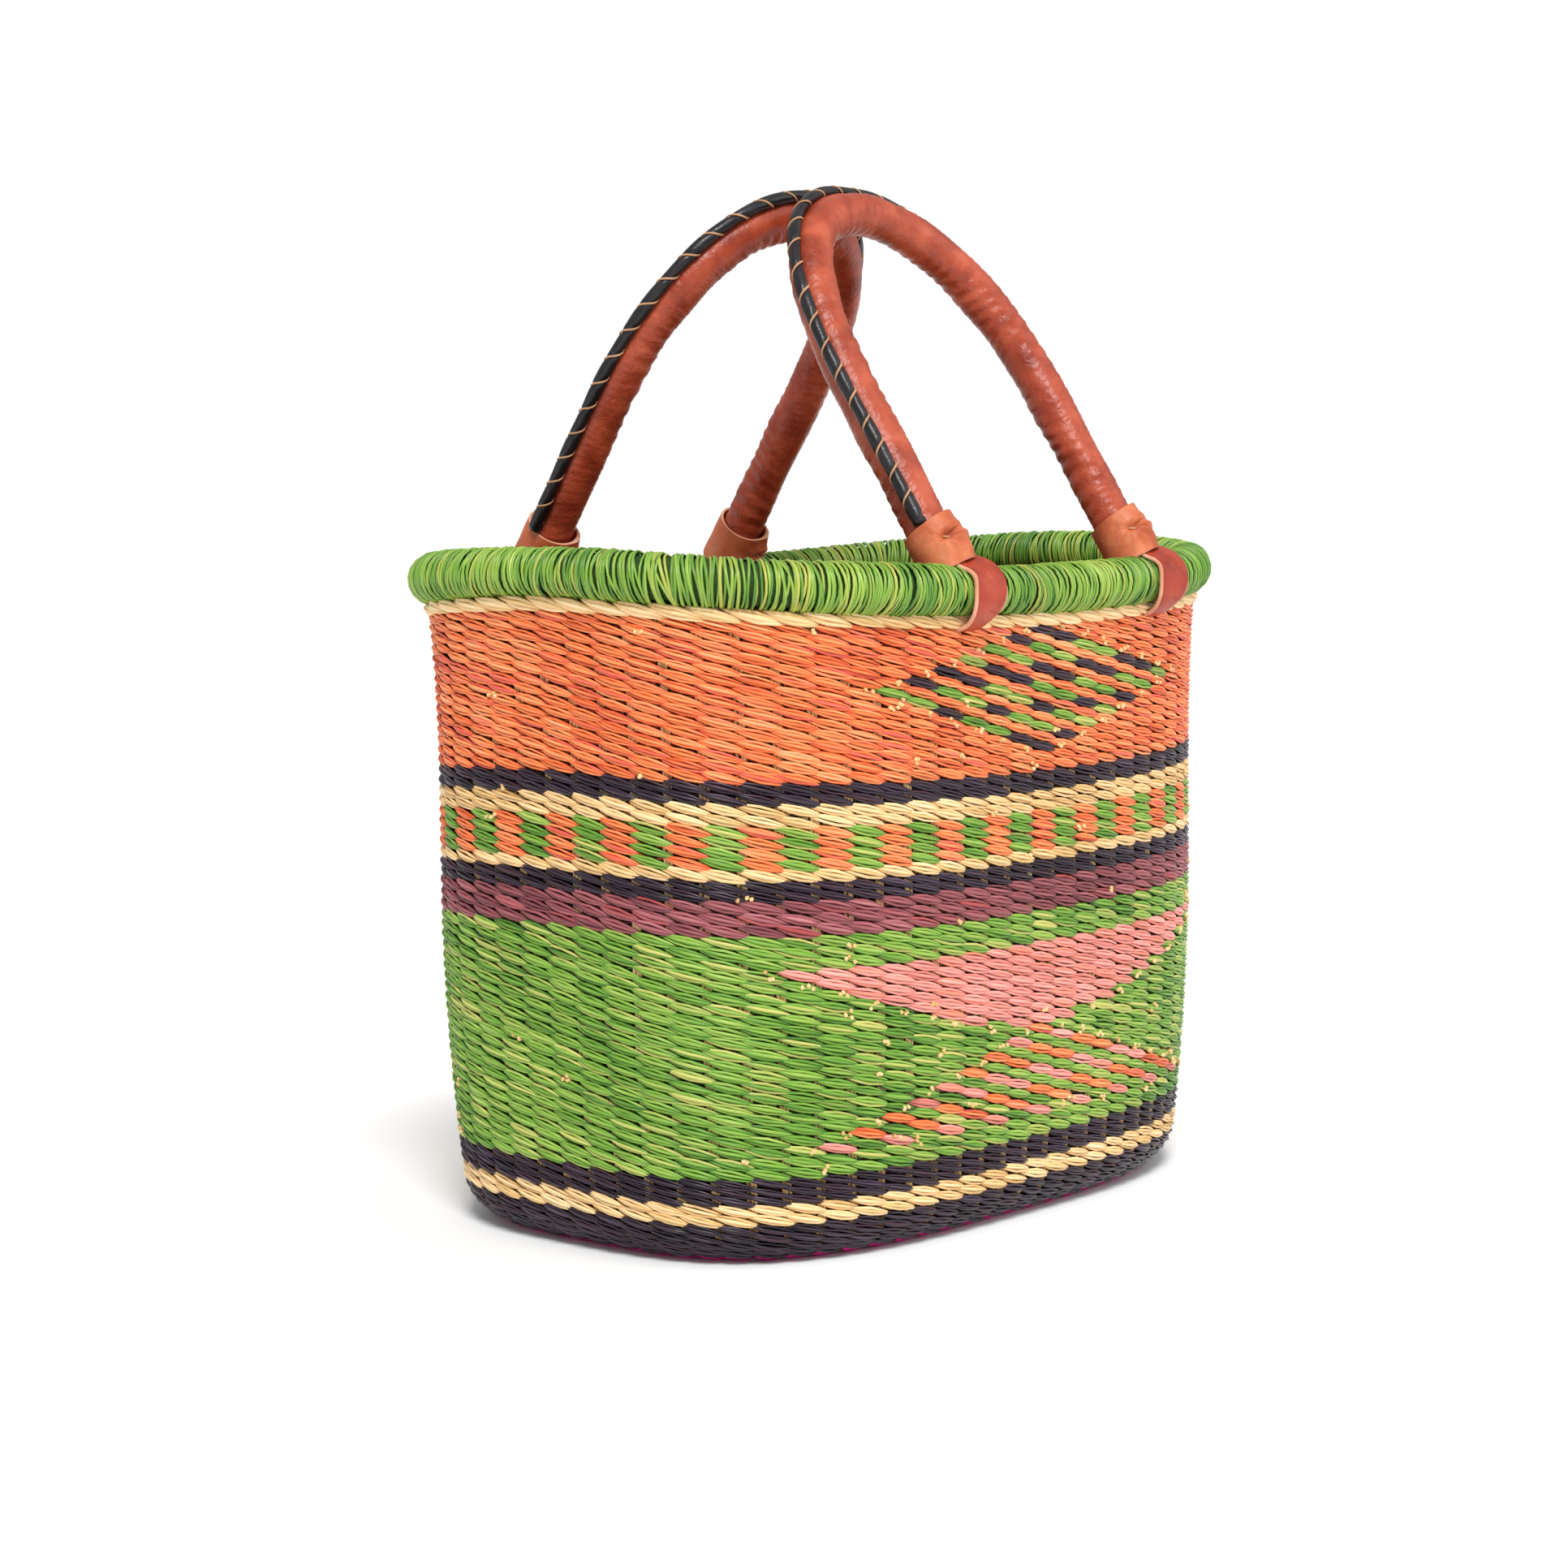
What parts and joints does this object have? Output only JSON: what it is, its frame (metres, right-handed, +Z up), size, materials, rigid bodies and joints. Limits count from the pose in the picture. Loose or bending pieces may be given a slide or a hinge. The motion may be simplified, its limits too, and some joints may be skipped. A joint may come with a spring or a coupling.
{
  "type": "woven basket",
  "caption": "Oval twined straw market basket with dyed colour bands, a wrapped rim and a pair of leather-covered swinging handles held by rim straps.",
  "frame": {"origin": "centre of the underside, where the basket stands on the floor", "axes": "+Z up, X along the basket's length, -Y towards the side with the woven picture"},
  "size_m": [0.3982, 0.2803, 0.4631],
  "materials": {
    "base_straw": "woven dyed straw, matt with a faint sheen",
    "stake_straw": "bare straw stakes",
    "inner_straw": "inner side of the twined dyed straw",
    "cream_straw": "undyed twisted straw",
    "rim_straw": "tightly wrapped green dyed straw",
    "hoop_straw": "bundled straw core",
    "magenta_straw": "magenta dyed straw",
    "aubergine_straw": "dark aubergine dyed straw, satin",
    "green_straw": "green dyed straw with yellow-green streaks",
    "plum_straw": "plum dyed straw with red streaks",
    "checker_straw": "orange and green dyed straw in alternate columns",
    "orange_straw": "orange dyed straw with pink streaks",
    "brown_leather": "reddish-brown leather, satin, wrinkled",
    "black_piping": "black leather piping",
    "thong_leather": "thin tan thong",
    "tan_leather": "tan leather, pale cut edges",
    "strap_leather": "reddish-brown leather strap"
  },
  "bodies": {
    "basket": {"base_weave": "base_straw", "band_magenta_edge": "magenta_straw", "band_aubergine_foot": "aubergine_straw", "band_cream_foot": "cream_straw", "band_aubergine_lower": "aubergine_straw", "band_green": "green_straw", "band_plum": "plum_straw", "band_aubergine_middle": "aubergine_straw", "band_cream_middle": "cream_straw", "band_checker": "checker_straw", "band_cream_upper": "cream_straw", "band_aubergine_upper": "aubergine_straw", "band_orange": "orange_straw", "stake_cage": "stake_straw", "inner_weave": "inner_straw", "cream_rim_course": "cream_straw", "rim_wrap": "rim_straw", "rim_hoop": "hoop_straw"},
    "front_handle": {"front_handle_cover": "brown_leather", "front_handle_core": "hoop_straw", "front_handle_piping": "black_piping", "front_handle_lacing": "thong_leather", "front_handle_cuff_left": "tan_leather", "front_handle_cuff_right": "tan_leather", "front_handle_strap_left": "strap_leather", "front_handle_strap_right": "strap_leather"},
    "back_handle": {"back_handle_cover": "brown_leather", "back_handle_core": "hoop_straw", "back_handle_piping": "black_piping", "back_handle_lacing": "thong_leather", "back_handle_cuff_left": "tan_leather", "back_handle_cuff_right": "tan_leather", "back_handle_strap_left": "strap_leather", "back_handle_strap_right": "strap_leather"}
  },
  "joints": [
    {"name": "front_handle_swing", "type": "hinge", "parent": "basket", "child": "front_handle", "pos_m": [0.016, -0.1213, 0.28079], "axis": [0.9998, 0.0188, 0.009], "range_deg": [0, 160]},
    {"name": "back_handle_swing", "type": "hinge", "parent": "basket", "child": "back_handle", "pos_m": [-0.008, 0.12179, 0.28064], "axis": [-1, -0.0087, 0.0046], "range_deg": [0, 160]}
  ]
}
